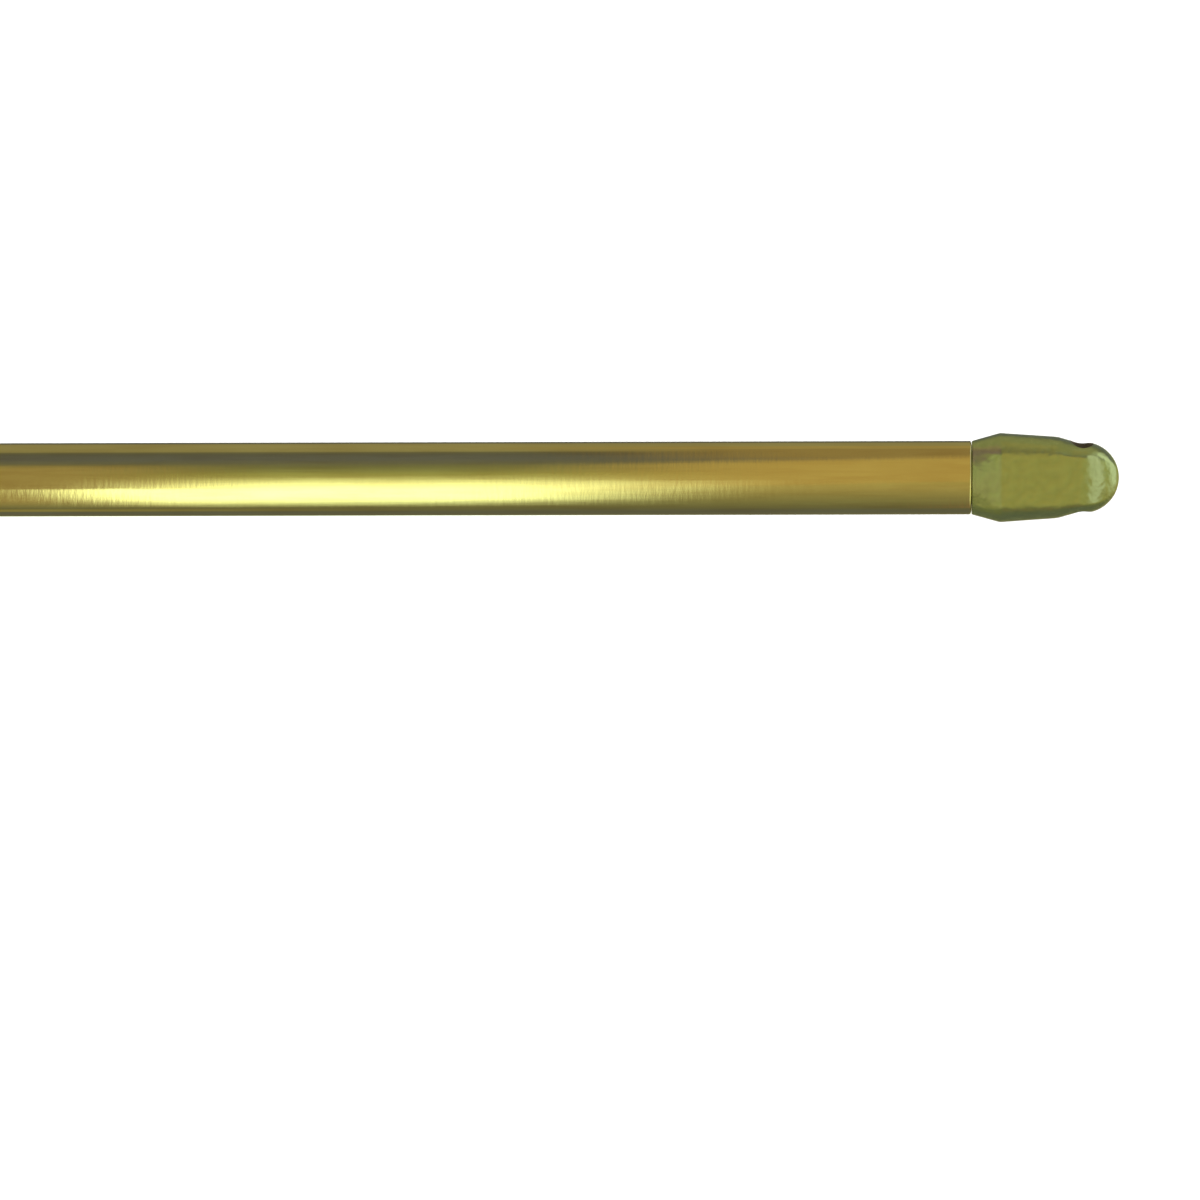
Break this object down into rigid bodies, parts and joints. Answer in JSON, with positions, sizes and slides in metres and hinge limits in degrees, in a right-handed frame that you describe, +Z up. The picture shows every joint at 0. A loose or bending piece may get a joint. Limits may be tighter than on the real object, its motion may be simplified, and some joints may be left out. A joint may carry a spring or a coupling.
{
  "type": "extendable sash curtain rod",
  "caption": "Extendable flat-oval sash curtain rod in gold finish, with bullet-shaped end caps whose upright holes drop over window hooks.",
  "frame": {"origin": "middle of the upright hook hole in the outer tube's end cap, where a window hook holds the rod", "axes": "+X along the rod, towards that cap's nose; +Y towards the window, out of the rod's back; +Z up"},
  "size_m": [0.3, 0.0072, 0.0132],
  "materials": {
    "gilt_tube": "polished along its length, gold lacquered",
    "gold_lacquer": "satin olive-gold lacquer over a zinc casting",
    "tan_plastic": "moulded, matt",
    "spring_steel": "bright rolled strip"
  },
  "bodies": {
    "outer_half": {"outer_tube": "gilt_tube", "outer_end_cap": "gold_lacquer", "spigot_sleeve": "tan_plastic", "mouth_guide": "tan_plastic"},
    "inner_half": {"inner_tube": "gilt_tube", "inner_end_cap": "gold_lacquer", "slide_bush": "tan_plastic", "friction_spring": "spring_steel"}
  },
  "joints": [
    {"name": "length_slide", "type": "slide", "parent": "outer_half", "child": "inner_half", "axis": [-1, 0, 0], "range_m": [0, 0.2]}
  ]
}
